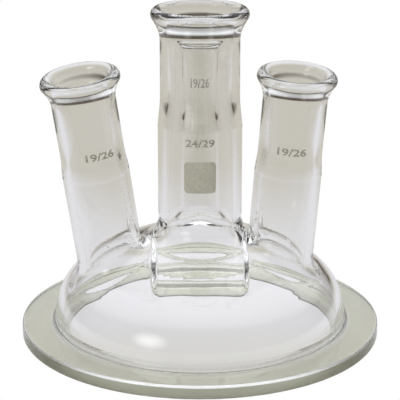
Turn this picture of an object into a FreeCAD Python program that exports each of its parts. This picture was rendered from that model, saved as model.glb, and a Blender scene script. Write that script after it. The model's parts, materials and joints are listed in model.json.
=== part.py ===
import FreeCAD, Part
import math
import os
import Sketcher

# Four-neck lid of a separable reaction flask, in clear borosilicate glass.
# The lid stands on its ground flange: the ground face is z = 0, the axis of the centre neck is +Z,
# and the origin is on that axis. Every neck is described in a frame of its own, whose origin is the
# foot point of the neck's axis in the plane z = foot_height and whose +Z is the neck's axis.

Vector = FreeCAD.Vector
doc = FreeCAD.newDocument("four_neck_lid")

# ---------------------------------------------------------------- driving dimensions (mm, degrees)

DIMENSIONS = [
    # ground flange
    ("flange_od", 132.0),
    ("flange_bore", 99.0),
    ("flange_thickness", 5.0),
    ("flange_edge_round", 0.8),
    ("bore_edge_round", 0.6),
    # dome: a knuckle arc and a crown arc, as on a blown lid
    ("seam_height", 7.0),
    ("dome_od", 107.2),
    ("dome_wall", 2.8),
    ("knuckle_radius", 22.0),
    ("crown_radius", 77.4),
    ("collar_flare", 6.0),
    ("collar_flare_inside", 8.2),
    ("neck_root_round", 2.0),
    ("neck_root_round_inside", 3.0),
    # common to every neck
    ("foot_height", 40.0),
    ("collar_top", 8.0),
    ("root_depth", 20.0),
    ("cut_margin", 1.0),
    ("lip_taper", 30.0),
    # centre neck, socket 24/29
    ("centre_offset", 0.0),
    ("centre_azimuth", 0.0),
    ("centre_lean", 0.0),
    ("centre_lean_azimuth", 0.0),
    ("centre_length", 81.25),
    ("centre_od", 30.5),
    ("centre_wall", 2.8),
    ("centre_socket_od", 28.7),
    ("centre_cone", 24.0),
    ("centre_cone_length", 29.0),
    ("centre_cone_depth", 4.0),
    ("centre_lip_ring", 15.3),
    ("centre_lip_bead", 2.35),
    ("centre_lip_blend", 12.0),
    ("centre_socket_length", 43.25),
    ("centre_shoulder", 9.0),
    ("centre_socket_step", 6.5),
    # left neck, socket 19/26
    ("left_offset", 35.4),
    ("left_azimuth", 198.1),
    ("left_lean", 10.5),
    ("left_lean_azimuth", 223.5),
    ("left_length", 62.5),
    ("left_od", 24.0),
    ("left_wall", 2.8),
    ("left_socket_od", 22.8),
    ("left_cone", 18.8),
    ("left_cone_length", 26.0),
    ("left_cone_depth", 3.6),
    ("left_lip_ring", 12.0),
    ("left_lip_bead", 2.17),
    ("left_lip_blend", 10.0),
    ("left_socket_length", 37.5),
    ("left_shoulder", 6.5),
    ("left_socket_step", 4.0),
    # right neck, socket 19/26
    ("right_offset", 31.0),
    ("right_azimuth", 343.1),
    ("right_lean", 6.7),
    ("right_lean_azimuth", 307.8),
    ("right_length", 61.8),
    ("right_od", 24.0),
    ("right_wall", 2.8),
    ("right_socket_od", 22.8),
    ("right_cone", 18.8),
    ("right_cone_length", 26.0),
    ("right_cone_depth", 3.6),
    ("right_lip_ring", 12.0),
    ("right_lip_bead", 2.17),
    ("right_lip_blend", 10.0),
    ("right_socket_length", 37.5),
    ("right_shoulder", 6.5),
    ("right_socket_step", 4.0),
    # rear neck, socket 19/26
    ("rear_offset", 34.0),
    ("rear_azimuth", 90.0),
    ("rear_lean", 6.0),
    ("rear_lean_azimuth", 90.0),
    ("rear_length", 65.4),
    ("rear_od", 24.0),
    ("rear_wall", 2.8),
    ("rear_socket_od", 22.8),
    ("rear_cone", 18.8),
    ("rear_cone_length", 26.0),
    ("rear_cone_depth", 3.6),
    ("rear_lip_ring", 12.0),
    ("rear_lip_bead", 2.17),
    ("rear_lip_blend", 10.0),
    ("rear_socket_length", 37.5),
    ("rear_shoulder", 6.5),
    ("rear_socket_step", 4.0),
    # fired-on enamel marks
    ("enamel", 0.15),
    ("digit_height", 2.8),
    ("digit_width", 1.6),
    ("digit_pitch", 2.2),
    ("stroke", 0.4),
    ("centre_mark_height", 34.1),
    ("left_mark_height", 34.0),
    ("right_mark_height", 34.5),
    ("rear_mark_height", 44.5),
    ("centre_mark_turn", 0.0),
    ("left_mark_turn", 19.0),
    ("right_mark_turn", -1.0),
    ("rear_mark_turn", 0.0),
    ("panel_width", 11.4),
    ("panel_tall", 11.55),
    ("panel_height", 17.1),
]

sheet = doc.addObject("Spreadsheet::Sheet", "Dims")
for row, (alias, number) in enumerate(DIMENSIONS, start=1):
    sheet.set(f"A{row}", alias)
    sheet.set(f"B{row}", str(number))
    sheet.setAlias(f"B{row}", alias)
doc.recompute()

NECKS = ("centre", "left", "right", "rear")
SIDE_NECKS = ("left", "right", "rear")
PANEL_NECK = "centre"
MARK_TEXT = {"centre": "24/29", "left": "19/26", "right": "19/26", "rear": "19/26"}
# the stretch of neck that carries the marks: the plain tube on the centre neck, else the socket
MARKED_OD = {
    "centre": "centre_od",
    "left": "left_socket_od",
    "right": "right_socket_od",
    "rear": "rear_socket_od",
}

# Strokes of a digit on a two-by-three grid: name -> (x, z, runs across) of the stroke's start, in
# digit widths and half digit heights.
STROKES = {
    "top": (0, 2, True),
    "middle": (0, 1, True),
    "bottom": (0, 0, True),
    "upper_left": (0, 1, False),
    "lower_left": (0, 0, False),
    "upper_right": (1, 1, False),
    "lower_right": (1, 0, False),
}
DIGITS = {
    "1": ("upper_right", "lower_right"),
    "2": ("top", "upper_right", "middle", "lower_left", "bottom"),
    "4": ("upper_left", "upper_right", "middle", "lower_right"),
    "6": ("top", "upper_left", "middle", "lower_left", "lower_right", "bottom"),
    "9": ("top", "upper_left", "upper_right", "middle", "lower_right", "bottom"),
}


# ---------------------------------------------------------------- expressions and placements


def dims(expression):
    """The expression with every alias read from the sheet."""
    for alias, _ in sorted(DIMENSIONS, key=lambda pair: -len(pair[0])):
        expression = expression.replace(f"[{alias}]", f"Dims.{alias}")
    return expression


def number(expression):
    """The present value of an expression, as a plain float."""
    found = sheet.evalExpression(dims(expression))
    return float(getattr(found, "Value", found))


def bind(obj, **properties):
    """Binds properties of obj to expressions; Base_x stands for Placement.Base.x and so on."""
    for prop, expression in properties.items():
        obj.setExpression(prop.replace("Base_", "Placement.Base."), dims(expression))


def stand_on_neck(obj, neck, start="0", turn=0.0):
    """Places obj on the neck's axis, start above its foot point and turned about that axis."""
    heading = math.radians(number(f"[{neck}_lean_azimuth]"))
    level = Vector(-math.sin(heading), math.cos(heading), 0)
    lean = FreeCAD.Rotation(level, number(f"[{neck}_lean]"))
    spin = FreeCAD.Rotation(Vector(0, 0, 1), turn)
    obj.Placement = FreeCAD.Placement(Vector(0, 0, 0), lean.multiply(spin))
    offset, azimuth = f"[{neck}_offset]", f"([{neck}_azimuth] * 1deg)"
    sideways, lean_azimuth = f"({start}) * sin([{neck}_lean] * 1deg)", f"([{neck}_lean_azimuth] * 1deg)"
    bind(
        obj,
        Base_x=f"{offset} * cos{azimuth} + {sideways} * cos{lean_azimuth}",
        Base_y=f"{offset} * sin{azimuth} + {sideways} * sin{lean_azimuth}",
        Base_z=f"[foot_height] + ({start}) * cos([{neck}_lean] * 1deg)",
    )


# ---------------------------------------------------------------- turned pieces


def origin_plane(body, role):
    """One of the body's own origin planes or axes."""
    return next(feature for feature in body.Origin.OriginFeatures if feature.Role == role)


def through(start, end, radius, convex):
    """Arc from start to end; convex bulges away from the axis side of the travel direction."""
    chord = end - start
    half = chord.Length / 2
    rise = math.sqrt(max(radius**2 - half**2, 0.0))
    side = Vector(-chord.y, chord.x, 0).normalize()
    middle = (start + end) / 2
    centre = middle + side * (rise if convex else -rise)
    first = math.atan2(start.y - centre.y, start.x - centre.x)
    last = math.atan2(end.y - centre.y, end.x - centre.x)
    circle = Part.Circle(centre, Vector(0, 0, 1), radius)
    return Part.ArcOfCircle(circle, first, last) if convex else Part.ArcOfCircle(circle, last, first)


def turned(label, outline):
    """A body turned about its Z axis.

    outline is a closed run of corners (radius, height, edge): the two sizes are expressions, and edge
    says how the outline goes on to the next corner: None for a straight line, or (radius, convex) for
    an arc that is convex to the left-hand turn or concave.
    """
    body = doc.addObject("PartDesign::Body", label)
    body.Label = label
    sketch = body.newObject("Sketcher::SketchObject", f"{label}_outline")
    sketch.AttachmentSupport = [(origin_plane(body, "XZ_Plane"), "")]
    sketch.MapMode = "FlatFace"
    corners = [Vector(number(radius), number(height), 0) for radius, height, _ in outline]
    starts, ends = [], []
    for index, (_, _, edge) in enumerate(outline):
        here, after = corners[index], corners[(index + 1) % len(corners)]
        if edge is None:
            sketch.addGeometry(Part.LineSegment(here, after), False)
            starts.append(1)
            ends.append(2)
        else:
            arc_radius, convex = edge
            sketch.addGeometry(through(here, after, number(arc_radius), convex), False)
            starts.append(1 if convex else 2)
            ends.append(2 if convex else 1)
    for index, (radius, height, edge) in enumerate(outline):
        before = index - 1 if index else len(outline) - 1
        sketch.addConstraint(Sketcher.Constraint("Coincident", before, ends[before], index, starts[index]))
        place_point(sketch, index, starts[index], corners[index], radius, height)
        if edge is not None:
            item = sketch.addConstraint(Sketcher.Constraint("Radius", index, number(edge[0])))
            sketch.setExpression(f"Constraints[{item}]", dims(edge[0]))
    turning = body.newObject("PartDesign::Revolution", f"{label}_turning")
    turning.Profile = sketch
    turning.ReferenceAxis = (sketch, ["V_Axis"])
    turning.Angle = 360.0
    doc.recompute()
    return body


def place_point(sketch, geometry, point, spot, radius, height):
    """Holds one point of the sketch at (radius, height) from the sketch's origin."""
    for kind, value, expression in (("DistanceX", spot.x, radius), ("DistanceY", spot.y, height)):
        if expression == "0":
            on_axis = -2 if kind == "DistanceX" else -1
            sketch.addConstraint(Sketcher.Constraint("PointOnObject", geometry, point, on_axis))
            continue
        item = sketch.addConstraint(Sketcher.Constraint(kind, -1, 1, geometry, point, value))
        sketch.setExpression(f"Constraints[{item}]", dims(expression))


# ---------------------------------------------------------------- ground flange

ROOT_ROUND = "([seam_height] - [flange_thickness])"


def ground_flange():
    """The flat ground ring, with the rounded root that carries the dome."""
    rim = "[flange_od] / 2"
    bore = "[flange_bore] / 2"
    edge = "[flange_edge_round]"
    return turned(
        "ground_flange",
        [
            (f"{bore} + [bore_edge_round]", "0", None),
            (f"{rim} - {edge}", "0", (edge, True)),
            (rim, edge, None),
            (rim, f"[flange_thickness] - {edge}", (edge, True)),
            (f"{rim} - {edge}", "[flange_thickness]", None),
            (f"[dome_od] / 2 + {ROOT_ROUND}", "[flange_thickness]", (ROOT_ROUND, False)),
            ("[dome_od] / 2", "[seam_height]", None),
            ("[dome_od] / 2 - [dome_wall]", "[seam_height]", None),
            (bore, "[flange_thickness] / 2", None),
            (bore, "[bore_edge_round]", ("[bore_edge_round]", True)),
        ],
    )


# ---------------------------------------------------------------- dome

KNUCKLE_AXIS = "([dome_od] / 2 - [knuckle_radius])"
CENTRES_RISE = f"sqrt(([crown_radius] - [knuckle_radius])^2 - {KNUCKLE_AXIS}^2)"
CROWN_CENTRE = f"([seam_height] - {CENTRES_RISE})"
# sine and cosine of the slope where the knuckle meets the crown
SLOPE_SIN = f"({KNUCKLE_AXIS} / ([crown_radius] - [knuckle_radius]))"
SLOPE_COS = f"({CENTRES_RISE} / ([crown_radius] - [knuckle_radius]))"


def dome_outline(shrink, collar_radius, flare, top):
    """The dome's curve from the seam up to the axis, with the centre collar, drawn in by shrink."""
    knuckle = f"([knuckle_radius] - {shrink})"
    crown = f"([crown_radius] - {shrink})"
    reach = f"({crown} + {flare})"
    flare_axis = f"({collar_radius} + {flare})"
    flare_height = f"({CROWN_CENTRE} + sqrt({reach}^2 - {flare_axis}^2))"
    touch_radius = f"{flare_axis} * {crown} / {reach}"
    touch_height = f"{CROWN_CENTRE} + ({flare_height} - {CROWN_CENTRE}) * {crown} / {reach}"
    return [
        (f"[dome_od] / 2 - {shrink}", "[seam_height]", (knuckle, True)),
        (
            f"{KNUCKLE_AXIS} + {knuckle} * {SLOPE_SIN}",
            f"[seam_height] + {knuckle} * {SLOPE_COS}",
            (crown, True),
        ),
        (touch_radius, touch_height, (flare, False)),
        (collar_radius, flare_height, None),
        (collar_radius, top, None),
        ("0", top, None),
    ]


def stub(name, neck, radius, top):
    """A round bar on a side neck's axis, from inside the dome up to top in the neck's frame."""
    bar = doc.addObject("Part::Cylinder", name)
    bind(bar, Radius=radius, Height=f"[root_depth] + {top}")
    stand_on_neck(bar, neck, start="-1 * [root_depth]")
    return bar


def root_edges(shape, bars):
    """Numbers of the edges where the bars leave the dome: round them, not the bars' ends or seams."""
    found = []
    for index, edge in enumerate(shape.Edges, start=1):
        if isinstance(edge.Curve, Part.Line):
            continue
        first, last = edge.ParameterRange
        points = [edge.valueAt(first + (last - first) * step / 6) for step in range(7)]
        for bar in bars:
            local = [bar.Placement.inverse().multVec(point) for point in points]
            on_wall = all(abs(math.hypot(p.x, p.y) - bar.Radius.Value) < 0.02 for p in local)
            below_end = max(p.z for p in local) < bar.Height.Value - 0.5
            if on_wall and below_end:
                found.append(index)
                break
    return found


def rounded_union(name, core, bars, radius):
    """core and bars joined, with the roots of the bars rounded."""
    joined = doc.addObject("Part::MultiFuse", f"{name}_joined")
    joined.Shapes = [core] + bars
    doc.recompute()
    rounded = doc.addObject("Part::Fillet", f"{name}_rounded")
    rounded.Base = joined
    size = number(radius)
    rounded.Edges = [(index, size, size) for index in root_edges(joined.Shape, bars)]
    doc.recompute()
    return rounded


def dome():
    """The blown dome with its four collars, opened from below."""
    collar_end = "([foot_height] + [collar_top])"
    outer_core = turned(
        "dome_outside",
        [("0", "[seam_height]", None)]
        + dome_outline("0", "[centre_od] / 2", "[collar_flare]", collar_end),
    )
    outer_bars = [stub(f"{neck}_collar", neck, f"[{neck}_od] / 2", "[collar_top]") for neck in SIDE_NECKS]
    outside = rounded_union("dome_outside", outer_core, outer_bars, "[neck_root_round]")

    centre_bore = "([centre_od] / 2 - [centre_wall])"
    opened = "([seam_height] - [cut_margin])"
    inner_core = turned(
        "dome_inside",
        [("0", opened, None), ("[dome_od] / 2 - [dome_wall]", opened, None)]
        + dome_outline(
            "[dome_wall]", centre_bore, "[collar_flare_inside]", f"{collar_end} + [cut_margin]"
        ),
    )
    inner_bars = [
        stub(
            f"{neck}_collar_bore",
            neck,
            f"[{neck}_od] / 2 - [{neck}_wall]",
            "[collar_top] + [cut_margin]",
        )
        for neck in SIDE_NECKS
    ]
    inside = rounded_union("dome_inside", inner_core, inner_bars, "[neck_root_round_inside]")

    shell = doc.addObject("Part::Cut", "dome")
    shell.Label = "dome"
    shell.Base = outside
    shell.Tool = inside
    return shell


# ---------------------------------------------------------------- necks


def neck_tube(neck):
    """The plain length of tube between the dome's collar and the socket."""
    label = f"{neck}_neck_tube"
    top = f"[{neck}_length] - [{neck}_socket_length]"
    outer = f"[{neck}_od] / 2"
    inner = f"[{neck}_od] / 2 - [{neck}_wall]"
    body = turned(
        label,
        [
            (inner, "[collar_top]", None),
            (outer, "[collar_top]", None),
            (outer, top, None),
            (inner, top, None),
        ],
    )
    stand_on_neck(body, neck)
    return body


def neck_socket(neck):
    """The tapered 1:10 socket with its beaded lip, from the tube's end to the mouth.

    Below the cone it widens inside and out to the size of the tube that it is sealed to.
    """
    label = f"{neck}_socket"
    tube = f"([{neck}_od] / 2)"
    outer = f"([{neck}_socket_od] / 2)"
    inner = f"({tube} - [{neck}_wall])"
    foot = f"[{neck}_length] - [{neck}_socket_length]"
    ring = f"[{neck}_lip_ring]"
    bead = f"[{neck}_lip_bead]"
    bead_height = f"([{neck}_length] - {bead})"
    taper = "([lip_taper] * 1deg)"
    lip_radius = f"({ring} + {bead} * cos{taper})"
    lip_height = f"({bead_height} - {bead} * sin{taper})"
    meeting = f"({lip_height} - ({lip_radius} - {outer}) / tan{taper})"
    blend = f"[{neck}_lip_blend]"
    tangent = f"({blend} * tan([lip_taper] / 2 * 1deg))"
    cone_top = f"([{neck}_length] - [{neck}_cone_depth])"
    cone_end = f"({cone_top} - [{neck}_cone_length])"
    small_end = f"([{neck}_cone] / 2 - [{neck}_cone_length] / 20)"
    body = turned(
        label,
        [
            (inner, foot, None),
            (tube, foot, None),
            (outer, f"{foot} + [{neck}_shoulder]", None),
            (outer, f"{meeting} - {tangent}", (blend, False)),
            (f"{outer} + {tangent} * sin{taper}", f"{meeting} + {tangent} * cos{taper}", None),
            (lip_radius, lip_height, (bead, True)),
            (ring, f"[{neck}_length]", (bead, True)),
            (f"{ring} - {bead}", bead_height, None),
            (f"[{neck}_cone] / 2", cone_top, None),
            (small_end, cone_end, None),
            (inner, f"{cone_end} - [{neck}_socket_step]", None),
        ],
    )
    stand_on_neck(body, neck)
    return body


# ---------------------------------------------------------------- enamel marks


def skin(name, neck):
    """A thin shell on the outside of a neck: the thickness of the enamel."""
    radius_there = f"[{MARKED_OD[neck]}] / 2"
    outer = doc.addObject("Part::Cylinder", f"{name}_skin_outer")
    inner = doc.addObject("Part::Cylinder", f"{name}_skin_inner")
    for bar, radius in ((outer, f"{radius_there} + [enamel]"), (inner, radius_there)):
        bind(bar, Radius=radius, Height=f"[{neck}_length]")
    shell = doc.addObject("Part::Cut", f"{name}_skin")
    shell.Base = outer
    shell.Tool = inner
    return shell


def bar_through(name, width, tall, left, bottom, neck):
    """A straight bar that crosses the front of the neck's skin."""
    bar = doc.addObject("Part::Box", name)
    bind(
        bar,
        Length=width,
        Height=tall,
        Width=f"[{neck}_od]",
        Base_x=left,
        Base_y=f"-1 * [{neck}_od]",
        Base_z=bottom,
    )
    return bar


def printed(label, neck, bars, turn):
    """The part of the skin that the bars cross, placed on the neck."""
    group = doc.addObject("Part::Compound", f"{label}_strokes")
    group.Links = bars
    mark = doc.addObject("Part::Common", label)
    mark.Label = label
    mark.Base = group
    mark.Tool = skin(label, neck)
    stand_on_neck(mark, neck, turn=turn)
    return mark


def size_mark(neck):
    """The joint size in stencil numerals, such as 24/29: each stroke is a solid of its own."""
    label = f"{neck}_size_mark"
    text = MARK_TEXT[neck]
    gap = "0.06"
    bars = []
    for place, character in enumerate(text):
        left = f"({place - (len(text) - 1) / 2} * [digit_pitch] - [digit_width] / 2)"
        foot = f"[{neck}_mark_height]"
        if character == "/":
            name = f"{label}_{place}_slash"
            middle = f"{left} + [digit_width] / 2 - [stroke] / 2"
            bars.append(bar_through(name, "[stroke]", "[digit_height]", middle, foot, neck))
            continue
        for stroke in DIGITS[character]:
            across, up, level = STROKES[stroke]
            start = f"{left} + {across} * ([digit_width] - [stroke])"
            bottom = f"{foot} + {up} * ([digit_height] - [stroke]) / 2"
            name = f"{label}_{place}_{stroke}"
            if level:
                bars.append(bar_through(name, "[digit_width]", "[stroke]", start, bottom, neck))
            else:
                tall = f"([digit_height] - [stroke]) / 2 - [stroke] - 2 * {gap}"
                bottom = f"{bottom} + [stroke] + {gap}"
                bars.append(bar_through(name, "[stroke]", tall, start, bottom, neck))
    return printed(label, neck, bars, number(f"[{neck}_mark_turn]"))


def marking_panel():
    """A plain square of enamel on the centre neck to write on."""
    bar = bar_through(
        "marking_panel_bar",
        "[panel_width]",
        "[panel_tall]",
        "-1 * [panel_width] / 2",
        "[panel_height]",
        PANEL_NECK,
    )
    return printed("marking_panel", PANEL_NECK, [bar], 0.0)


# ---------------------------------------------------------------- the assembly

pieces = [ground_flange(), dome()]
for neck in NECKS:
    pieces.append(neck_tube(neck))
    pieces.append(neck_socket(neck))
for neck in NECKS:
    pieces.append(size_mark(neck))
pieces.append(marking_panel())
doc.recompute()

for item in doc.Objects:
    if "Invalid" in item.State or "Error" in item.State:
        raise RuntimeError(f"{item.Label} did not recompute")

os.makedirs("parts", exist_ok=True)
for piece in pieces:
    if piece.Shape.isNull() or not piece.Shape.isValid():
        raise RuntimeError(f"{piece.Label} has no valid shape")
    piece.Shape.exportStep(os.path.join("parts", f"{piece.Label}.step"))
    print(piece.Label, len(piece.Shape.Solids), round(piece.Shape.Volume, 1))
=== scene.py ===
import json
import math

import bmesh
import bpy
import numpy as np
from mathutils import Matrix, Vector


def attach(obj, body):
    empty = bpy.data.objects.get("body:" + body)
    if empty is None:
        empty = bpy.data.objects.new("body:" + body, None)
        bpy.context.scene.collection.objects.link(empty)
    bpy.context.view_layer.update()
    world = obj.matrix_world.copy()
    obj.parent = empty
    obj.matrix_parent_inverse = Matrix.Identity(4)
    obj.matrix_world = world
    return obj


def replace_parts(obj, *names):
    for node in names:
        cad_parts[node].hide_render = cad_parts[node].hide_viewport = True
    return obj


# The four-neck lid of a separable reaction flask, in clear glass. Sizes below are in millimetres.
# Every glass piece meets its neighbours on a flat seal, so light crosses the seals unbent.

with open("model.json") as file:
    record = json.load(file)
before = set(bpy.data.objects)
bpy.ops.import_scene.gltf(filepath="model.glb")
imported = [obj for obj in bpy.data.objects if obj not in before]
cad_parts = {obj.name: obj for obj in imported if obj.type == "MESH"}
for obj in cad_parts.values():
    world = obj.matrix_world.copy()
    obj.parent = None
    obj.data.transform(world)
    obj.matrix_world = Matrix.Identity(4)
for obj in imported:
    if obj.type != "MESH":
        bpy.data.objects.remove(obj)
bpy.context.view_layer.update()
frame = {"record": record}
MM = 0.001

NECKS = ("centre", "left", "right", "rear")
MOUNTS = {m["name"]: m for m in frame["record"]["mounts"]}

SEAM_HEIGHT = 7.0
DOME_RADIUS = 53.6
DOME_WALL = 2.8
KNUCKLE_RADIUS = 22.0
CROWN_RADIUS = 77.4
COLLAR_TOP = 8.0
LIP_TAPER = math.radians(30)

# the uneven wall of the blown dome: how far to each side the thick place reaches, where the thin place
# beside it fades out, from which radius inwards and over what reach, and how much the wall gains or
# loses for each millimetre inwards
GATHER_HALF, GATHER_EASE = 16.3, 1.3
BESIDE_FADE, BESIDE_END = 32.0, 40.0
GATHER_RADIUS, GATHER_REACH = 44.0, 15.0
GATHER_RISE, GATHER_FALL = 0.09, 0.05

FLANGE = {"rim": 66.0, "bore": 49.5, "thick": 5.0, "edge": 0.8, "bore_edge": 0.6}

# length: foot point to mouth; depth: mouth to the wide end of the ground cone; radius and wall: the
# tube; shoulder and step: where the outside and the bore widen below the cone to the tube's size; ease:
# how far the bore's widening is rounded off, in passes
SIDE_JOINT = {
    "radius": 12.0, "wall": 2.8, "socket_radius": 11.4, "cone": 18.8, "cone_length": 26.0,
    "depth": 3.6, "ring": 12.0, "bead": 2.17, "blend": 10.0, "socket": 37.5, "shoulder": 6.5,
    "step": 4.0, "ease": 60,
}
CENTRE_JOINT = {
    "radius": 15.25, "wall": 2.8, "socket_radius": 14.35, "cone": 24.0, "cone_length": 29.0,
    "depth": 4.0, "ring": 15.3, "bead": 2.35, "blend": 12.0, "socket": 43.25, "shoulder": 9.0,
    "step": 6.5, "ease": 110,
}
NECK_SIZES = {
    "centre": {**CENTRE_JOINT, "length": 81.25, "root": 6.5, "root_inside": 8.4, "mark": 15.25},
    "left": {**SIDE_JOINT, "length": 62.5, "root": 5.0, "root_inside": 7.0, "mark": 11.4},
    "right": {**SIDE_JOINT, "length": 61.8, "root": 4.0, "root_inside": 6.0, "mark": 11.4},
    "rear": {**SIDE_JOINT, "length": 65.4, "root": 5.0, "root_inside": 7.0, "mark": 11.4},
}


class NeckFrame:
    """A neck's own frame: foot point, two level directions and the axis, from the record's mount."""

    def __init__(self, neck):
        mount = MOUNTS[f"{neck}_joint"]
        sizes = NECK_SIZES[neck]
        self.axis = np.array(mount["axis"], float)
        self.axis /= np.linalg.norm(self.axis)
        mouth = np.array(mount["pos_m"], float) / MM
        self.foot = mouth - self.axis * (sizes["length"] - sizes["depth"])
        level = np.cross([0.0, 0.0, 1.0], self.axis)
        turn = math.asin(min(float(np.linalg.norm(level)), 1.0))
        rotation = Matrix.Identity(3)
        if turn > 1e-9:
            rotation = Matrix.Rotation(turn, 3, Vector(level))
        self.across = np.array(rotation @ Vector((1, 0, 0)))
        self.back = np.array(rotation @ Vector((0, 1, 0)))

    def place(self, local):
        """Points of the neck's frame, in the row frame."""
        local = np.asarray(local, float)
        x, y, z = local[:, :1], local[:, 1:2], local[:, 2:3]
        return self.foot + x * self.across + y * self.back + z * self.axis

    def local(self, points):
        d = np.asarray(points, float) - self.foot
        return np.column_stack([d @ self.across, d @ self.back, d @ self.axis])


FRAMES = {neck: NeckFrame(neck) for neck in NECKS}


# ---------------------------------------------------------------- materials


def new_material(name):
    material = bpy.data.materials.new(name)
    material.use_nodes = True
    tree = material.node_tree
    tree.nodes.clear()
    output = tree.nodes.new("ShaderNodeOutputMaterial")
    return material, tree, output


def noise(tree, source, scale, detail=2.0, distortion=0.0):
    node = tree.nodes.new("ShaderNodeTexNoise")
    node.inputs["Scale"].default_value = scale
    node.inputs["Detail"].default_value = detail
    node.inputs["Distortion"].default_value = distortion
    tree.links.new(source, node.inputs["Vector"])
    return node.outputs["Fac"]


def ramp(tree, source, stops):
    node = tree.nodes.new("ShaderNodeValToRGB")
    elements = node.color_ramp.elements
    while len(elements) < len(stops):
        elements.new(0.5)
    for element, (place, colour) in zip(elements, stops):
        element.position = place
        element.color = (*colour, 1.0)
    tree.links.new(source, node.inputs["Fac"])
    return node.outputs["Color"]


def span(tree, source, low, high, to_low, to_high):
    node = tree.nodes.new("ShaderNodeMapRange")
    node.inputs["From Min"].default_value = low
    node.inputs["From Max"].default_value = high
    node.inputs["To Min"].default_value = to_low
    node.inputs["To Max"].default_value = to_high
    tree.links.new(source, node.inputs["Value"])
    return node.outputs["Result"]


# the colour sockets of Blender's Mix node, which share their names with its number sockets
MIX_SHARE, MIX_LOW, MIX_HIGH, MIX_RESULT = 0, 6, 7, 2


def mixed(tree, share, low_colour, high_colour, blend="MIX"):
    """Two colours mixed by share; share is a socket or a number, each colour a socket or fixed."""
    node = tree.nodes.new("ShaderNodeMix")
    node.data_type = "RGBA"
    node.blend_type = blend
    for slot, value in ((MIX_SHARE, share), (MIX_LOW, low_colour), (MIX_HIGH, high_colour)):
        if isinstance(value, tuple):
            node.inputs[slot].default_value = (*value, 1.0)
        elif isinstance(value, float):
            node.inputs[slot].default_value = value
        else:
            tree.links.new(value, node.inputs[slot])
    return node.outputs[MIX_RESULT]


def combined(tree, operation, first, second):
    node = tree.nodes.new("ShaderNodeMath")
    node.operation = operation
    tree.links.new(first, node.inputs[0])
    tree.links.new(second, node.inputs[1])
    return node.outputs["Value"]


def texture_place(tree):
    return tree.nodes.new("ShaderNodeTexCoord").outputs["Object"]


def parts_of(tree, vector):
    """The X, Y and Z sockets of a vector."""
    node = tree.nodes.new("ShaderNodeSeparateXYZ")
    tree.links.new(vector, node.inputs["Vector"])
    return node.outputs


def length_of(tree, vector):
    node = tree.nodes.new("ShaderNodeVectorMath")
    node.operation = "LENGTH"
    tree.links.new(vector, node.inputs[0])
    return node.outputs["Value"]


def scaled(tree, vector, scale):
    node = tree.nodes.new("ShaderNodeMapping")
    node.inputs["Scale"].default_value = scale
    tree.links.new(vector, node.inputs["Vector"])
    return node.outputs["Vector"]


def bumped(tree, shader, height, strength, distance):
    bump = tree.nodes.new("ShaderNodeBump")
    bump.inputs["Strength"].default_value = strength
    bump.inputs["Distance"].default_value = distance
    tree.links.new(height, bump.inputs["Height"])
    tree.links.new(bump.outputs["Normal"], shader.inputs["Normal"])


WHITE = (1.0, 1.0, 1.0)
GLASS_IOR = 1.473
CLEAR_DEEP, CLEAR_PALE = (0.98, 0.98, 0.974), (0.99, 0.99, 0.987)
# painted shade on the flange: an olive contact shadow over the ground face, partly the grease of the
# ground contact
OLIVE_CONTACT_SHADE = (0.66, 0.66, 0.525)
# painted shade darkening the flange's rim side
RIM_SHADE = (0.16, 0.16, 0.10)
# a painted shadow line round the bore's foot, where the glass meets the table
BORE_SHADOW_LINE = (0.10, 0.085, 0.06)

# the flange's painted shade and finish, in metres: painted shade by radius, the ground face's top,
# where the painted shadow line round the bore's foot ends, and where the rim's clear rounded top edge
# begins, free of the painted rim shade; BLUR is how fast each gives way
FLANGE_SHADE = ((0.0535, WHITE), (0.056, OLIVE_CONTACT_SHADE), (0.0653, OLIVE_CONTACT_SHADE), (0.0659, RIM_SHADE))
GROUND_TOP, GROUND_ROUGHNESS = 0.0003, 0.35
SHADOW_LINE_RADIUS, SHADOW_LINE_TOP = 0.0502, 0.0007
ARRIS_RADIUS, ARRIS_HEIGHT = 0.0651, 0.0041
BLUR = 0.0002

# blowing waves: their depth in metres, on the blown and drawn glass and on the flange
WAVE_DEPTH, FLANGE_WAVE_DEPTH = 0.00004, 0.00006


def flange_shade_and_finish(tree, place, colour, rough):
    """The flange's painted shade and finish: olive painted contact shade, a darker painted rim, a
    painted shadow line at the bore, a clear rounded top edge and a ground underside.
    """
    reach = length_of(tree, scaled(tree, place, (1.0, 1.0, 0.0)))
    height = parts_of(tree, place)["Z"]
    # painted shade by radius: none inside, the olive contact shade over the ground face, the darker rim
    # shade outside
    first, last = FLANGE_SHADE[0][0], FLANGE_SHADE[-1][0]
    stops = [((radius - first) / (last - first), painted_shade) for radius, painted_shade in FLANGE_SHADE]
    painted_shade = ramp(tree, span(tree, reach, first, last, 0.0, 1.0), stops)
    colour = mixed(tree, 1.0, colour, painted_shade, "MULTIPLY")
    # the painted shadow line round the bore's foot, low on the flange
    near = span(tree, reach, SHADOW_LINE_RADIUS, SHADOW_LINE_RADIUS + BLUR, 1.0, 0.0)
    low = span(tree, height, SHADOW_LINE_TOP, SHADOW_LINE_TOP + BLUR, 1.0, 0.0)
    colour = mixed(tree, combined(tree, "MULTIPLY", near, low), colour, BORE_SHADOW_LINE)
    # the rounded top edge of the rim stays clear, without the painted rim shade
    far = span(tree, reach, ARRIS_RADIUS, ARRIS_RADIUS + BLUR, 0.0, 1.0)
    high = span(tree, height, ARRIS_HEIGHT, ARRIS_HEIGHT + BLUR, 0.0, 1.0)
    colour = mixed(tree, combined(tree, "MULTIPLY", far, high), colour, WHITE)
    ground = span(tree, height, GROUND_TOP * 0.8, GROUND_TOP, GROUND_ROUGHNESS, 0.0)
    return colour, combined(tree, "ADD", ground, rough)


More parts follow.
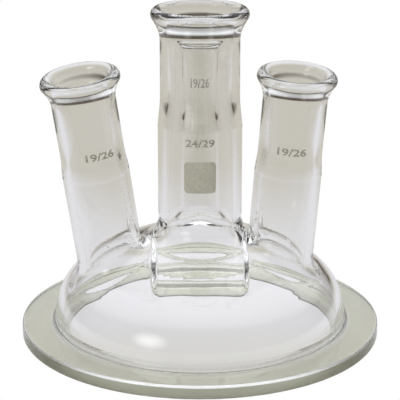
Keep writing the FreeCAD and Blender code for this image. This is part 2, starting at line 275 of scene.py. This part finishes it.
def glass(name, wave_depth, flange=False):
    """Clear glass: faint cords and waves from blowing, a slightly uneven hue, polished; on the flange,
    painted shade as well.
    """
    material, tree, output = new_material(name)
    place = texture_place(tree)
    shader = tree.nodes.new("ShaderNodeBsdfPrincipled")
    shader.inputs["Transmission Weight"].default_value = 1.0
    shader.inputs["IOR"].default_value = GLASS_IOR
    colour = ramp(tree, noise(tree, place, 45.0, 2.0), [(0.35, CLEAR_DEEP), (0.65, CLEAR_PALE)])
    rough = span(tree, noise(tree, place, 120.0, 3.0), 0.3, 0.8, 0.0, 0.012)
    # the flange also gets painted shade, besides its ground underside
    if flange:
        colour, rough = flange_shade_and_finish(tree, place, colour, rough)
    tree.links.new(colour, shader.inputs["Base Color"])
    tree.links.new(rough, shader.inputs["Roughness"])
    # the waves are drawn out along the axis
    waves = noise(tree, scaled(tree, place, (1.0, 1.0, 0.35)), 90.0, 1.0, 0.4)
    bumped(tree, shader, waves, 1.0, wave_depth)
    tree.links.new(shader.outputs["BSDF"], output.inputs["Surface"])
    return material


def seal_material():
    """The plane inside a glassblower's seal, where two pieces of glass are one: nothing to see."""
    material, tree, output = new_material("seal")
    shader = tree.nodes.new("ShaderNodeBsdfTransparent")
    tree.links.new(shader.outputs["BSDF"], output.inputs["Surface"])
    return material


GRAIN_DEPTH = 0.00004


def enamel(name, light, dark):
    """Fired-on ceramic print: matt, slightly grainy and uneven in cover."""
    material, tree, output = new_material(name)
    place = texture_place(tree)
    shader = tree.nodes.new("ShaderNodeBsdfPrincipled")
    grain = noise(tree, place, 1400.0, 4.0)
    tree.links.new(ramp(tree, grain, [(0.3, dark), (0.7, light)]), shader.inputs["Base Color"])
    rough = span(tree, noise(tree, place, 900.0, 2.0), 0.3, 0.7, 0.45, 0.7)
    tree.links.new(rough, shader.inputs["Roughness"])
    bumped(tree, shader, grain, 0.5, GRAIN_DEPTH)
    tree.links.new(shader.outputs["BSDF"], output.inputs["Surface"])
    return material


CLEAR = glass("clear_glass", WAVE_DEPTH)
# the flange's glass carries painted shade
FLANGE_GLASS = glass("flange_glass", FLANGE_WAVE_DEPTH, flange=True)
SEAL = seal_material()
ENAMEL = enamel("enamel", (0.56, 0.55, 0.46), (0.47, 0.46, 0.38))
WORN_ENAMEL = enamel("worn_enamel", (0.74, 0.725, 0.64), (0.66, 0.65, 0.57))
PANEL = enamel("panel_enamel", (0.74, 0.725, 0.60), (0.62, 0.61, 0.50))


# ---------------------------------------------------------------- turned glass

# faces round a neck and round the flange, and passes that round off a socket's shoulder and its bore
NECK_SEGMENTS, FLANGE_SEGMENTS = 160, 256
SHOULDER_PASSES, BORE_PASSES = 30, 12


def arc(centre, radius, first, last, steps):
    """Points of an arc in the (radius, height) plane; angles in degrees from the outward level."""
    angles = np.radians(np.linspace(first, last, steps + 1))
    return [(centre[0] + radius * math.cos(a), centre[1] + radius * math.sin(a)) for a in angles]


def run(start, end, step):
    """Points of a straight run, its end left out."""
    count = max(1, int(round(math.dist(start, end) / step)))
    return [
        (start[0] + (end[0] - start[0]) * i / count, start[1] + (end[1] - start[1]) * i / count)
        for i in range(count)
    ]


def soften(points, fixed, passes):
    """Eases the corners of an open profile; points listed in fixed stay."""
    points = np.array(points, float)
    for _ in range(passes):
        eased = points.copy()
        eased[1:-1] = (points[:-2] + 2 * points[1:-1] + points[2:]) / 4
        for i in fixed:
            eased[i] = points[i]
        points = eased
    return [tuple(p) for p in points]


def turned_rings(bm, profile, place, segments):
    turns = [2 * math.pi * i / segments for i in range(segments)]
    made = []
    for radius, height in profile:
        ring = np.array([(radius * math.cos(a), radius * math.sin(a), height) for a in turns])
        made.append([bm.verts.new(Vector(p) * MM) for p in place(ring)])
    return made


def turned_piece(name, outside, inside, place, material, segments=NECK_SEGMENTS, seals=("low", "high")):
    """A turned piece of glass from an outer and an inner profile, both running upwards.

    The profiles meet in a seal at each end named in seals, and at the other end they share a point.
    """
    bm = bmesh.new()
    outer = turned_rings(bm, outside, place, segments)
    inner = turned_rings(bm, inside, place, segments)
    if "high" not in seals:
        for v in inner[-1]:
            bm.verts.remove(v)
        inner[-1] = outer[-1]
    if "low" not in seals:
        for v in inner[0]:
            bm.verts.remove(v)
        inner[0] = outer[0]

    def skin(loops, outward):
        for low, high in zip(loops, loops[1:]):
            for i in range(segments):
                j = (i + 1) % segments
                quad = [low[i], low[j], high[j], high[i]]
                face = bm.faces.new(quad if outward else quad[::-1])
                face.smooth = True

    skin(outer, True)
    skin(inner, False)
    for end, index, up in (("low", 0, False), ("high", -1, True)):
        if end not in seals:
            continue
        a, b = outer[index], inner[index]
        for i in range(segments):
            j = (i + 1) % segments
            quad = [a[i], a[j], b[j], b[i]]
            face = bm.faces.new(quad if up else quad[::-1])
            face.material_index = 1
            for edge in face.edges:
                if set(edge.verts) in ({a[i], a[j]}, {b[i], b[j]}):
                    edge.smooth = False
    return finish_mesh(name, bm, [material, SEAL])


def finish_mesh(name, bm, materials):
    mesh = bpy.data.meshes.new(name)
    bm.to_mesh(mesh)
    bm.free()
    for material in materials:
        mesh.materials.append(material)
    obj = bpy.data.objects.new(name, mesh)
    bpy.context.scene.collection.objects.link(obj)
    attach(obj, "root")
    return obj


def upright(points):
    return points


def build_flange():
    f = FLANGE
    root = SEAM_HEIGHT - f["thick"]
    foot_radius = DOME_RADIUS + root
    outside = [(f["bore"] + f["bore_edge"], 0.0)]
    outside += run((f["bore"] + f["bore_edge"] + 0.5, 0.0), (f["rim"] - f["edge"], 0.0), 1.5)
    outside += arc((f["rim"] - f["edge"], f["edge"]), f["edge"], -90, 0, 8)[:-1]
    outside += run((f["rim"], f["edge"]), (f["rim"], f["thick"] - f["edge"]), 0.6)
    outside += arc((f["rim"] - f["edge"], f["thick"] - f["edge"]), f["edge"], 0, 90, 8)[:-1]
    outside += run((f["rim"] - f["edge"], f["thick"]), (foot_radius, f["thick"]), 1.0)
    outside += arc((foot_radius, SEAM_HEIGHT), root, 270, 180, 10)
    inner_top = DOME_RADIUS - DOME_WALL
    inside = [(f["bore"] + f["bore_edge"], 0.0)]
    inside += arc((f["bore"] + f["bore_edge"], f["bore_edge"]), f["bore_edge"], 270, 180, 6)[1:-1]
    inside += run((f["bore"], f["bore_edge"]), (f["bore"], f["thick"] / 2), 0.4)
    inside += run((f["bore"], f["thick"] / 2), (inner_top, SEAM_HEIGHT), 0.5)
    inside += [(inner_top, SEAM_HEIGHT)]
    return turned_piece("flange", outside, inside, upright, FLANGE_GLASS, FLANGE_SEGMENTS, ("high",))


def build_tube(neck):
    s = NECK_SIZES[neck]
    top = s["length"] - s["socket"]
    ends = [COLLAR_TOP + (top - COLLAR_TOP) * i / 12 for i in range(13)]
    outside = [(s["radius"], z) for z in ends]
    inside = [(s["radius"] - s["wall"], z) for z in ends]
    return turned_piece(f"{neck}_tube", outside, inside, FRAMES[neck].place, CLEAR)


def socket_profiles(neck):
    s = NECK_SIZES[neck]
    tube, outer, foot = s["radius"], s["socket_radius"], s["length"] - s["socket"]
    bead_height = s["length"] - s["bead"]
    lip = (
        s["ring"] + s["bead"] * math.cos(LIP_TAPER),
        bead_height - s["bead"] * math.sin(LIP_TAPER),
    )
    meeting = lip[1] - (lip[0] - outer) / math.tan(LIP_TAPER)
    tangent = s["blend"] * math.tan(LIP_TAPER / 2)
    blend_start = meeting - tangent
    blend_end = (outer + tangent * math.sin(LIP_TAPER), meeting + tangent * math.cos(LIP_TAPER))
    outside = run((tube, foot), (tube, foot + 1.5), 0.5)
    outside += run((tube, foot + 1.5), (outer, foot + s["shoulder"]), 0.5)
    outside += run((outer, foot + s["shoulder"]), (outer, blend_start), 0.5)
    outside = soften(outside, (0, 1), SHOULDER_PASSES)
    outside += arc((outer + s["blend"], blend_start), s["blend"], 180, 150, 8)[:-1]
    outside += run(blend_end, lip, 0.4)
    outside += arc((s["ring"], bead_height), s["bead"], -30, 90, 20)
    mouth = (s["ring"] - s["bead"], bead_height)
    cone_top = s["length"] - s["depth"]
    cone_end = cone_top - s["cone_length"]
    wide, narrow = s["cone"] / 2, s["cone"] / 2 - s["cone_length"] / 20
    bore = tube - s["wall"]
    inside = run((bore, foot), (bore, cone_end - s["step"]), 0.5)
    inside += run((bore, cone_end - s["step"]), (narrow, cone_end), 0.5)
    inside += run((narrow, cone_end), (wide, cone_top), 0.5)
    inside = soften(inside, (0, 1), s["ease"])
    inside += run((wide, cone_top), mouth, 0.3)
    inside += arc((s["ring"], bead_height), s["bead"], 180, 90, 16)
    return outside, soften(inside, (0, 1), BORE_PASSES)


def build_socket(neck):
    outside, inside = socket_profiles(neck)
    place = FRAMES[neck].place
    return turned_piece(f"{neck}_socket_glass", outside, inside, place, CLEAR, seals=("low",))


# ---------------------------------------------------------------- the blown dome

# the box and the pitch of the net, and how far round the flange seam and a collar a cut reaches
NET_BOX = ((-57.3, -57.3, 3.2), (57.3, 57.3, 53.0))
NET_PITCH = 1.18
SEAM_MARGIN = 4
COLLAR_MARGIN, COLLAR_LOW = 3.0, 3


def dome_field(points, shrink):
    """Distance outside the plain dome, drawn in by shrink."""
    rho = np.hypot(points[:, 0], points[:, 1])
    z = points[:, 2]
    knuckle_axis = DOME_RADIUS - KNUCKLE_RADIUS
    rise = math.sqrt((CROWN_RADIUS - KNUCKLE_RADIUS) ** 2 - knuckle_axis**2)
    crown_centre = SEAM_HEIGHT - rise
    knuckle = np.hypot(rho - knuckle_axis, z - SEAM_HEIGHT) - KNUCKLE_RADIUS
    crown = np.hypot(rho, z - crown_centre) - CROWN_RADIUS
    wall = rho - DOME_RADIUS
    on_crown = rho * rise < knuckle_axis * (z - crown_centre)
    field = np.where(on_crown, crown, knuckle)
    return np.where(z < SEAM_HEIGHT, wall, field) + shrink


def neck_field(points, neck, radius):
    local = FRAMES[neck].local(points)
    return np.hypot(local[:, 0], local[:, 1]) - radius


def round_union(a, b, radius):
    """Two distance fields joined, with a fillet of that radius between them."""
    u, v = np.maximum(radius - a, 0), np.maximum(radius - b, 0)
    return np.maximum(radius, np.minimum(a, b)) - np.hypot(u, v)


def outside_field(points):
    field = dome_field(points, 0.0)
    for neck in NECKS:
        s = NECK_SIZES[neck]
        field = round_union(field, neck_field(points, neck, s["radius"]), s["root"])
    return field


def eased_step(value, start, end):
    t = np.clip((value - start) / (end - start), 0.0, 1.0)
    return t * t * (3 - 2 * t)


def wall_at(points):
    """Thickness of the blown wall: it gathers in front of the centre neck and thins out beside it."""
    rho = np.hypot(points[:, 0], points[:, 1])
    aside = np.abs(points[:, 0])
    climb = np.clip(GATHER_RADIUS - rho, 0.0, GATHER_REACH) * (points[:, 1] < 0)
    front = eased_step(aside, GATHER_HALF + GATHER_EASE, GATHER_HALF - GATHER_EASE)
    beside = eased_step(aside, GATHER_HALF - GATHER_EASE, GATHER_HALF + GATHER_EASE)
    beside = beside * eased_step(aside, BESIDE_END, BESIDE_FADE)
    return DOME_WALL + climb * (GATHER_RISE * front - GATHER_FALL * beside)


def inside_field(points):
    field = dome_field(points, wall_at(points))
    for neck in NECKS:
        s = NECK_SIZES[neck]
        field = round_union(field, neck_field(points, neck, s["radius"] - s["wall"]), s["root_inside"])
    return field


def slope(field, points, step=0.01):
    out = np.empty_like(points)
    for axis in range(3):
        shift = np.zeros(3)
        shift[axis] = step
        out[:, axis] = (field(points + shift) - field(points - shift)) / (2 * step)
    return out


def settle(field, points, rounds):
    """Moves points along the slope onto the field's zero surface."""
    for _ in range(rounds):
        g = slope(field, points)
        points = points - (field(points) / np.maximum((g**2).sum(1), 1e-6))[:, None] * g
    return points


def net_of(field, low, high, pitch):
    """A quad net over the field's zero surface: one point for each grid cell it crosses."""
    axes = [np.arange(low[i], high[i] + pitch, pitch) for i in range(3)]
    shape = tuple(len(a) for a in axes)
    grid = np.stack(np.meshgrid(*axes, indexing="ij"), -1).reshape(-1, 3)
    value = field(grid).reshape(shape)
    inside = value < 0
    sums = np.zeros(tuple(n - 1 for n in shape) + (3,))
    counts = np.zeros(tuple(n - 1 for n in shape))
    quads = []
    for axis in range(3):
        a = [slice(None)] * 3
        b = [slice(None)] * 3
        a[axis], b[axis] = slice(0, -1), slice(1, None)
        va, vb = value[tuple(a)], value[tuple(b)]
        crossing = inside[tuple(a)] != inside[tuple(b)]
        where = np.argwhere(crossing)
        t = va[crossing] / (va[crossing] - vb[crossing])
        spot = np.stack([axes[k][where[:, k]] for k in range(3)], 1)
        spot[:, axis] += t * pitch
        others = [k for k in range(3) if k != axis]
        cells = []
        for du in (0, 1):
            for dv in (0, 1):
                cell = where.copy()
                cell[:, others[0]] -= du
                cell[:, others[1]] -= dv
                cells.append(cell)
                good = np.all((cell >= 0) & (cell < np.array(counts.shape)), axis=1)
                index = tuple(cell[good].T)
                np.add.at(sums, index, spot[good])
                np.add.at(counts, index, 1)
        whole = np.all(
            [np.all((c >= 0) & (c < np.array(counts.shape)), axis=1) for c in cells], axis=0
        )
        ring = np.stack([cells[0], cells[1], cells[3], cells[2]], 1)[whole]
        flip = inside[tuple(a)][crossing][whole]
        if axis == 1:
            flip = ~flip
        ring[flip] = ring[flip][:, ::-1]
        quads.append(ring)
    cells = np.concatenate(quads)
    flat = np.ravel_multi_index(tuple(cells.reshape(-1, 3).T), counts.shape)
    used, index = np.unique(flat, return_inverse=True)
    points = sums.reshape(-1, 3)[used] / counts.reshape(-1)[used][:, None]
    return points, index.reshape(-1, 4)


def even_out(field, points, quads, rounds):
    """Slides the points along the surface until the net is even."""
    edges = np.concatenate([quads[:, [i, (i + 1) % 4]] for i in range(4)])
    count = np.bincount(edges.ravel(), minlength=len(points))[:, None]
    for _ in range(rounds):
        total = np.zeros_like(points)
        np.add.at(total, edges[:, 0], points[edges[:, 1]])
        np.add.at(total, edges[:, 1], points[edges[:, 0]])
        points = settle(field, (points + total / np.maximum(count, 1)) / 2, 1)
    return settle(field, points, 4)


def cut_radius(neck, inner):
    """Radius of the cut at a collar, or at the flange seam when neck is None."""
    if neck is None:
        return DOME_RADIUS - (DOME_WALL if inner else 0)
    sizes = NECK_SIZES[neck]
    return sizes["radius"] - (sizes["wall"] if inner else 0)


def near_cut(neck, radius, co):
    """Whether a point is close enough to the cut to be touched by it."""
    if neck is None:
        return co.z < SEAM_HEIGHT + SEAM_MARGIN
    local = FRAMES[neck].local(np.array([co]))[0]
    return math.hypot(local[0], local[1]) < radius + COLLAR_MARGIN and local[2] > COLLAR_LOW


def trimmed(points, quads, inner):
    """The net as a bmesh, cut at the flange seam and at every collar; also each cut's border."""
    bm = bmesh.new()
    made = [bm.verts.new(p) for p in points]
    for quad in quads:
        bm.faces.new([made[i] for i in quad]).smooth = True
    cuts = [(None, Vector((0, 0, SEAM_HEIGHT)), Vector((0, 0, -1)))]
    for neck in NECKS:
        f = FRAMES[neck]
        cuts.append((neck, Vector(f.foot + f.axis * COLLAR_TOP), Vector(f.axis)))
    borders = {}
    for neck, spot, normal in cuts:
        radius = cut_radius(neck, inner)
        faces = [f for f in bm.faces if near_cut(neck, radius, f.calc_center_median())]
        verts = {v for f in faces for v in f.verts}
        edges = {e for f in faces for e in f.edges}
        cut = bmesh.ops.bisect_plane(
            bm, geom=list(verts) + list(edges) + faces, plane_co=spot, plane_no=normal, dist=1e-5
        )
        border = [v for v in cut["geom_cut"] if isinstance(v, bmesh.types.BMVert)]
        gone = [
            v for v in bm.verts if (v.co - spot).dot(normal) > 1e-4 and near_cut(neck, radius, v.co)
        ]
        bmesh.ops.delete(bm, geom=gone, context="VERTS")
        borders[neck] = [v for v in border if v.is_valid]
    return bm, borders


def build_dome():
    skins = []
    for field, inner in ((outside_field, False), (inside_field, True)):
        points, quads = net_of(field, *NET_BOX, NET_PITCH)
        points = even_out(field, settle(field, points, 3), quads, 6)
        if inner:
            quads = quads[:, ::-1]
        bm, borders = trimmed(points, quads, inner)
        for neck, border in borders.items():
            radius = cut_radius(neck, inner)
            for v in border:
                if neck is None:
                    scale = radius / math.hypot(v.co.x, v.co.y)
                    v.co = (v.co.x * scale, v.co.y * scale, SEAM_HEIGHT)
                else:
                    local = FRAMES[neck].local(np.array([v.co]))[0]
                    scale = radius / math.hypot(local[0], local[1])
                    v.co = FRAMES[neck].place([[local[0] * scale, local[1] * scale, COLLAR_TOP]])[0]
        skins.append((bm, borders, field, inner))
    return join_skins(skins)


def angle_of(neck, co):
    if neck is None:
        return math.atan2(co.y, co.x)
    local = FRAMES[neck].local(np.array([co]))[0]
    return math.atan2(local[1], local[0])


def join_skins(skins):
    """One closed piece of glass from the dome's outer and inner skins and the seals between them."""
    whole = bmesh.new()
    loops = []
    normals = []
    for bm, borders, field, inner in skins:
        bm.verts.index_update()
        co = np.array([v.co for v in bm.verts])
        g = slope(field, co)
        g /= np.linalg.norm(g, axis=1)[:, None]
        normals.append(-g if inner else g)
        made = [whole.verts.new(v.co) for v in bm.verts]
        for f in bm.faces:
            face = whole.faces.new([made[v.index] for v in f.verts])
            face.smooth = True
        loops.append(
            {
                neck: sorted((made[v.index] for v in border), key=lambda v, n=neck: angle_of(n, v.co))
                for neck, border in borders.items()
            }
        )
        bm.free()
    for neck, outer in loops[0].items():
        zip_rings(whole, neck, outer, loops[1][neck])
    bmesh.ops.scale(whole, vec=(MM, MM, MM), verts=whole.verts)
    obj = finish_mesh("dome_glass", whole, [CLEAR, SEAL])
    obj.data.normals_split_custom_set_from_vertices([tuple(n) for n in np.concatenate(normals)])
    return obj


def zip_rings(bm, neck, outer, inner):
    """Closes the flat ring between two borders with triangles, walking round both by angle."""
    up = neck is not None
    a = [(angle_of(neck, v.co), v) for v in outer]
    b = [(angle_of(neck, v.co), v) for v in inner]
    i = j = 0
    while i < len(a) or j < len(b):
        angle_a = a[i + 1][0] if i + 1 < len(a) else a[0][0] + 2 * math.pi
        angle_b = b[j + 1][0] if j + 1 < len(b) else b[0][0] + 2 * math.pi
        if j >= len(b) or (i < len(a) and angle_a <= angle_b):
            corner = [a[i][1], a[(i + 1) % len(a)][1], b[j % len(b)][1]]
            i += 1
        else:
            corner = [a[i % len(a)][1], b[(j + 1) % len(b)][1], b[j][1]]
            j += 1
        face = bm.faces.new(corner if up else corner[::-1])
        face.material_index = 1


# ---------------------------------------------------------------- enamel marks

MARKS = {
    "centre": {"text": "24/29", "height": 34.1, "turn": 0.0, "print": ENAMEL},
    "left": {"text": "19/26", "height": 34.0, "turn": 19.0, "print": ENAMEL},
    "right": {"text": "19/26", "height": 34.5, "turn": -1.0, "print": ENAMEL},
    "rear": {"text": "19/26", "height": 44.5, "turn": 0.0, "print": WORN_ENAMEL},
}
DIGIT_HEIGHT = 2.8
MARK_WIDTH = 10.4
# how far the letters' strokes spread, in letter heights, and how the enamel stands on the glass
STROKE_SPREAD = 0.022
ENAMEL_CLEARANCE, ENAMEL_THICK = 0.02, 0.1


def wrapped(name, flat, faces, neck, turn, replaced, material):
    """A flat outline, in millimetres, thickened and wrapped round the outside of a neck."""
    radius = NECK_SIZES[neck]["mark"]
    turn = math.radians(turn)

    def wrap(x, z, r):
        angle = x / radius + turn - math.pi / 2
        return (r * math.cos(angle), r * math.sin(angle), z)

    foot = radius + ENAMEL_CLEARANCE
    low = FRAMES[neck].place([wrap(x, z, foot) for x, z in flat])
    high = FRAMES[neck].place([wrap(x, z, foot + ENAMEL_THICK) for x, z in flat])
    bm = bmesh.new()
    base = [bm.verts.new(Vector(p) * MM) for p in low]
    face_verts = [bm.verts.new(Vector(p) * MM) for p in high]
    sides = {}
    for corners in faces:
        bm.faces.new([face_verts[i] for i in corners]).smooth = True
        bm.faces.new([base[i] for i in reversed(corners)]).smooth = True
        sides.update(dict.fromkeys(zip(corners, corners[1:] + corners[:1])))
    for i, j in sides:
        if (j, i) not in sides:
            bm.faces.new([base[i], base[j], face_verts[j], face_verts[i]])
    obj = finish_mesh(name, bm, [material])
    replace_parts(obj, replaced)
    return obj


def lettering(text):
    """Flat outline of the text in the built-in font: its points and faces."""
    curve = bpy.data.curves.new("lettering", "FONT")
    curve.body = text
    curve.size = 1.0
    curve.resolution_u = 4
    curve.offset = STROKE_SPREAD
    curve.align_x = "CENTER"
    obj = bpy.data.objects.new("lettering", curve)
    bpy.context.scene.collection.objects.link(obj)
    bpy.context.view_layer.update()
    mesh = bpy.data.meshes.new_from_object(obj.evaluated_get(bpy.context.evaluated_depsgraph_get()))
    bm = bmesh.new()
    bm.from_mesh(mesh)
    bmesh.ops.remove_doubles(bm, verts=bm.verts, dist=1e-5)
    bm.verts.index_update()
    co = np.array([v.co[:2] for v in bm.verts])
    faces = [[v.index for v in f.verts] for f in bm.faces]
    bm.free()
    bpy.data.objects.remove(obj)
    bpy.data.curves.remove(curve)
    bpy.data.meshes.remove(mesh)
    low, high = co.min(0), co.max(0)
    co = (co - (low + high) / 2) / (high - low)
    return co, faces


def build_mark(neck):
    spec = MARKS[neck]
    co, faces = lettering(spec["text"])
    flat = [(x * MARK_WIDTH, spec["height"] + (y + 0.5) * DIGIT_HEIGHT) for x, y in co]
    name, node = f"{neck}_size_print", f"{neck}_size_mark"
    return wrapped(name, flat, faces, neck, spec["turn"], node, spec["print"])


PANEL_HALF = 5.7
PANEL_LOW, PANEL_HIGH = 17.1, 28.65
PANEL_CORNER = 1.4
PANEL_COLUMNS, CORNER_ROWS = 28, 8


def build_panel():
    """The writing panel: a square of enamel with rounded corners, in columns so that it bends."""
    middle = (PANEL_LOW + PANEL_HIGH) / 2
    straight_x = PANEL_HALF - PANEL_CORNER
    straight_z = (PANEL_HIGH - PANEL_LOW) / 2 - PANEL_CORNER
    # half width and height of the rows through the upper corners, then mirrored for the lower ones
    upper = []
    for k in range(CORNER_ROWS + 1):
        a = math.pi / 2 * k / CORNER_ROWS
        upper.append((straight_x + PANEL_CORNER * math.cos(a), straight_z + PANEL_CORNER * math.sin(a)))
    rows = [(half, -rise) for half, rise in reversed(upper)] + upper
    across = [2 * i / PANEL_COLUMNS - 1 for i in range(PANEL_COLUMNS + 1)]
    flat = [(half * share, middle + rise) for half, rise in rows for share in across]
    stride = len(across)
    faces = [
        [j * stride + i, j * stride + i + 1, (j + 1) * stride + i + 1, (j + 1) * stride + i]
        for j in range(len(rows) - 1)
        for i in range(PANEL_COLUMNS)
    ]
    return wrapped("writing_panel", flat, faces, "centre", 0.0, "marking_panel", PANEL)


# ---------------------------------------------------------------- the pieces

flange = build_flange()
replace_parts(flange, "ground_flange")
dome = build_dome()
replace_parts(dome, "dome")
for neck in NECKS:
    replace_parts(build_tube(neck), f"{neck}_neck_tube")
    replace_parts(build_socket(neck), f"{neck}_socket")
for neck in NECKS:
    build_mark(neck)
build_panel()


# ---------------------------------------------------------------- stage, light and camera


TABLE_FRONT = (0.54, 0.535, 0.515)
TABLE_WARM = (0.72, 0.715, 0.695)
TABLE_WHITE = (0.76, 0.755, 0.785)
BACKDROP = (0.585, 0.56, 0.5)
ROOM = (0.075, 0.058, 0.038)
ROOM_SIDE = (0.20, 0.19, 0.165)
SIDES = (0.34, 0.33, 0.30)
SOFT_BOX = (1.0, 1.02, 1.05)
ZENITH = (1.85, 1.89, 1.95)

# the table under the glass and its colours along Y, and the floor under it, in metres
TABLE_HALF, TABLE_NEAR, TABLE_FAR, TABLE_DROP = 0.50, -0.45, 0.24, -0.0004
TABLE_COLOURS = (
    (-0.070, TABLE_FRONT),
    (-0.025, TABLE_WARM),
    (0.010, TABLE_WHITE),
    (0.105, TABLE_WHITE),
    (0.205, BACKDROP),
)
FLOOR_HALF, FLOOR_DROP = 6.0, -0.0006

# what the glass sees by direction: the soft boxes overhead start lower behind than in front by the
# tilt; each span is the height at which one surrounding gives way to the next
OVERHEAD_TILT = 0.3
HORIZON_SPAN, OVERHEAD_SPAN, ZENITH_SPAN = (-0.07, -0.01), (0.43, 0.60), (0.60, 0.95)

# the key light in front to the left, aimed at the middle of the lid, in metres
KEY_PLACE, KEY_RADIUS, KEY_STRENGTH = (-0.57, -0.69, 0.24), 0.26, 3.6
LID_MIDDLE = 0.05
# the share of a softbox's radius that is fully bright
SOFTBOX_CORE = 0.25


def stage_piece(name, mesh, surface, material, tree, output):
    """Links a piece of the stage; surface is the socket its material shows."""
    tree.links.new(surface, output.inputs["Surface"])
    mesh.materials.append(material)
    obj = bpy.data.objects.new(name, mesh)
    bpy.context.scene.collection.objects.link(obj)
    return obj


def level_sheet(name, half, near, far):
    mesh = bpy.data.meshes.new(name)
    corners = [(-half, near, 0), (half, near, 0), (half, far, 0), (-half, far, 0)]
    mesh.from_pydata(corners, [], [(0, 1, 2, 3)])
    return mesh


def table():
    """The glowing table that only the glass sees."""
    mesh = level_sheet("table", TABLE_HALF, TABLE_NEAR, TABLE_FAR)
    material, tree, output = new_material("table")
    glow = tree.nodes.new("ShaderNodeEmission")
    low, high = TABLE_COLOURS[0][0], TABLE_COLOURS[-1][0]
    share = span(tree, parts_of(tree, texture_place(tree))["Y"], low, high, 0.0, 1.0)
    stops = [((spot - low) / (high - low), colour) for spot, colour in TABLE_COLOURS]
    tree.links.new(ramp(tree, share, stops), glow.inputs["Color"])
    obj = stage_piece("table", mesh, glow.outputs["Emission"], material, tree, output)
    obj.location = (0, 0, TABLE_DROP)
    obj.visible_camera = False
    obj.visible_shadow = False


def floor():
    """The pale floor the camera sees."""
    mesh = level_sheet("floor", FLOOR_HALF, -FLOOR_HALF, FLOOR_HALF)
    material, tree, output = new_material("floor")
    glow = tree.nodes.new("ShaderNodeEmission")
    glow.inputs["Color"].default_value = (*WHITE, 1.0)
    glow.inputs["Strength"].default_value = 1.0
    obj = stage_piece("floor", mesh, glow.outputs["Emission"], material, tree, output)
    obj.location = (0, 0, FLOOR_DROP)
    obj.visible_transmission = False
    obj.visible_glossy = False


def surroundings(tree):
    """What the glass sees around the table, by direction."""
    direction = tree.nodes.new("ShaderNodeTexCoord").outputs["Generated"]
    split = parts_of(tree, direction)
    # below the horizon: the backdrop behind, the greyer surroundings at the sides, the room in front
    round_room = ramp(
        tree,
        span(tree, split["Y"], -1.0, 1.0, 0.0, 1.0),
        [(0.0, ROOM), (0.35, ROOM_SIDE), (0.6, SIDES), (0.85, BACKDROP)],
    )
    # the dark room above the horizon, and soft boxes overhead, which reach lower behind than in front
    room = mixed(tree, span(tree, split["Z"], *HORIZON_SPAN, 0.0, 1.0), round_room, ROOM)
    height = tree.nodes.new("ShaderNodeMath")
    height.operation = "MULTIPLY_ADD"
    height.inputs[1].default_value = OVERHEAD_TILT
    tree.links.new(split["Y"], height.inputs[0])
    tree.links.new(split["Z"], height.inputs[2])
    overhead = span(tree, height.outputs["Value"], *OVERHEAD_SPAN, 0.0, 1.0)
    zenith = span(tree, height.outputs["Value"], *ZENITH_SPAN, 0.0, 1.0)
    return mixed(tree, zenith, mixed(tree, overhead, room, SOFT_BOX), ZENITH)


def studio():
    """White for the camera, the surroundings for the glass."""
    world = bpy.data.worlds.new("studio")
    bpy.context.scene.world = world
    world.use_nodes = True
    tree = world.node_tree
    tree.nodes.clear()
    output = tree.nodes.new("ShaderNodeOutputWorld")
    to_camera = tree.nodes.new("ShaderNodeBackground")
    to_camera.inputs["Color"].default_value = (*WHITE, 1.0)
    to_glass = tree.nodes.new("ShaderNodeBackground")
    tree.links.new(surroundings(tree), to_glass.inputs["Color"])
    mix = tree.nodes.new("ShaderNodeMixShader")
    path = tree.nodes.new("ShaderNodeLightPath")
    tree.links.new(path.outputs["Is Camera Ray"], mix.inputs["Fac"])
    tree.links.new(to_glass.outputs["Background"], mix.inputs[1])
    tree.links.new(to_camera.outputs["Background"], mix.inputs[2])
    tree.links.new(mix.outputs["Shader"], output.inputs["Surface"])


def softbox(name, place, radius, strength):
    """A round diffuser aimed at the lid: bright in the middle and fading to nothing at its edge."""
    bm = bmesh.new()
    bmesh.ops.create_circle(bm, cap_ends=True, radius=radius, segments=48)
    mesh = bpy.data.meshes.new(name)
    bm.to_mesh(mesh)
    bm.free()
    material, tree, output = new_material(name)
    glow = tree.nodes.new("ShaderNodeEmission")
    glow.inputs["Strength"].default_value = strength
    clear = tree.nodes.new("ShaderNodeBsdfTransparent")
    reach = length_of(tree, texture_place(tree))
    both = tree.nodes.new("ShaderNodeMixShader")
    tree.links.new(span(tree, reach, radius * SOFTBOX_CORE, radius, 1.0, 0.0), both.inputs["Fac"])
    tree.links.new(clear.outputs["BSDF"], both.inputs[1])
    tree.links.new(glow.outputs["Emission"], both.inputs[2])
    obj = stage_piece(name, mesh, both.outputs["Shader"], material, tree, output)
    obj.location = place
    aim = Vector((0, 0, LID_MIDDLE)) - Vector(place)
    obj.rotation_euler = aim.to_track_quat("Z", "Y").to_euler()
    obj.visible_camera = False
    obj.visible_shadow = False


floor()
table()
studio()
softbox("key", KEY_PLACE, KEY_RADIUS, KEY_STRENGTH)

# the camera looks down at the lid from in front
CAMERA_PLACE = (0.0, -0.592, 0.239)
CAMERA_PITCH = 17.72
CAMERA_LENS, CAMERA_SENSOR = 153.0, 36.0

# light crosses up to four necks, walls and lips on its way through the lid
GLASS_BOUNCES, GLOSSY_BOUNCES = 40, 16

camera = bpy.data.cameras.new("camera")
camera.sensor_width = CAMERA_SENSOR
camera.lens = CAMERA_LENS
camera.clip_start, camera.clip_end = 0.01, 50.0
view = bpy.data.objects.new("camera", camera)
view.location = CAMERA_PLACE
view.rotation_euler = (math.radians(90 - CAMERA_PITCH), 0.0, 0.0)
bpy.context.scene.collection.objects.link(view)
bpy.context.scene.camera = view

scene = bpy.context.scene
scene.view_settings.view_transform = "Standard"
scene.cycles.max_bounces = GLASS_BOUNCES
scene.cycles.transmission_bounces = GLASS_BOUNCES
scene.cycles.glossy_bounces = GLOSSY_BOUNCES
scene.cycles.transparent_max_bounces = GLASS_BOUNCES
